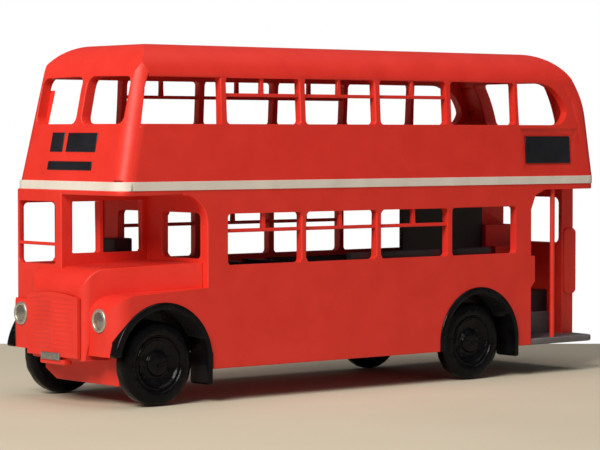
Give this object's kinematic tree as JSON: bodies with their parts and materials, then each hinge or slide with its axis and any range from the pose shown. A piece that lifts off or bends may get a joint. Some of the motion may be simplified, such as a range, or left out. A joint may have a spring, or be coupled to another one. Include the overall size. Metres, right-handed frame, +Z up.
{
  "type": "model double decker bus",
  "caption": "Small printed model of a half-cab double decker bus with an open rear platform, unglazed windows and free-rolling wheelsets.",
  "frame": {"origin": "middle of the whole model on the ground under its wheels", "axes": "-X is the front, -Y the platform side, +Z up"},
  "size_m": [0.111, 0.0318, 0.0584],
  "materials": {
    "arch_black": "gloss black",
    "axle_steel": "drawn wire",
    "band_cream": "satin paint",
    "blind_black": "blank black panel",
    "body_red": "matt red print with fine layer lines",
    "lamp_lens": "grey gloss",
    "lamp_silver": "silver paint",
    "plate_silver": "silver paint, blank",
    "platform_grey": "grey paint",
    "seat_black": "matt black",
    "wheel_black": "speckled satin black"
  },
  "bodies": {
    "body": {"arch_front_near": "arch_black", "arch_front_off": "arch_black", "arch_rear_near": "arch_black", "arch_rear_off": "arch_black", "band": "band_cream", "bonnet": "body_red", "bulkhead": "body_red", "cab_floor": "body_red", "cab_front": "body_red", "cab_inner_wall": "body_red", "cab_side_off": "body_red", "canopy": "body_red", "chassis": "body_red", "driver_seat": "seat_black", "front_blinds": "blind_black", "front_valance": "body_red", "grille": "body_red", "headlamp_lens_near": "lamp_lens", "headlamp_lens_off": "lamp_lens", "headlamp_near": "lamp_silver", "headlamp_off": "lamp_silver", "lower_window_bars_near": "body_red", "lower_window_bars_off": "body_red", "lower_windows_near": "body_red", "lower_windows_off": "body_red", "number_plate": "plate_silver", "plate_bracket": "body_red", "platform": "platform_grey", "platform_pole": "body_red", "platform_step": "platform_grey", "rear_blind": "blind_black", "rear_wall": "body_red", "roof": "body_red", "saloon_floor": "body_red", "seats_near": "seat_black", "seats_off": "seat_black", "stair_partition": "seat_black", "stair_step": "seat_black", "staircase": "body_red", "upper_floor": "body_red", "upper_front": "body_red", "upper_panel_near": "body_red", "upper_panel_off": "body_red", "upper_rear": "body_red", "upper_window_bars_near": "body_red", "upper_window_bars_off": "body_red", "upper_windows_near": "body_red", "upper_windows_off": "body_red", "waist_panel_near": "body_red", "waist_panel_off": "body_red", "windscreen_bar": "body_red", "wing_near": "body_red", "wing_off": "body_red"},
    "front_wheelset": {"front_axle": "axle_steel", "front_wheel_near": "wheel_black", "front_wheel_off": "wheel_black"},
    "rear_wheelset": {"rear_axle": "axle_steel", "rear_wheel_near": "wheel_black", "rear_wheel_off": "wheel_black"}
  },
  "joints": [
    {"name": "front_axle_spin", "type": "hinge", "parent": "body", "child": "front_wheelset", "pos_m": [-0.0443, 0, 0.0069], "axis": [0, 1, 0], "continuous": true},
    {"name": "rear_axle_spin", "type": "hinge", "parent": "body", "child": "rear_wheelset", "pos_m": [0.02462, 0, 0.0069], "axis": [0, 1, 0], "continuous": true}
  ]
}
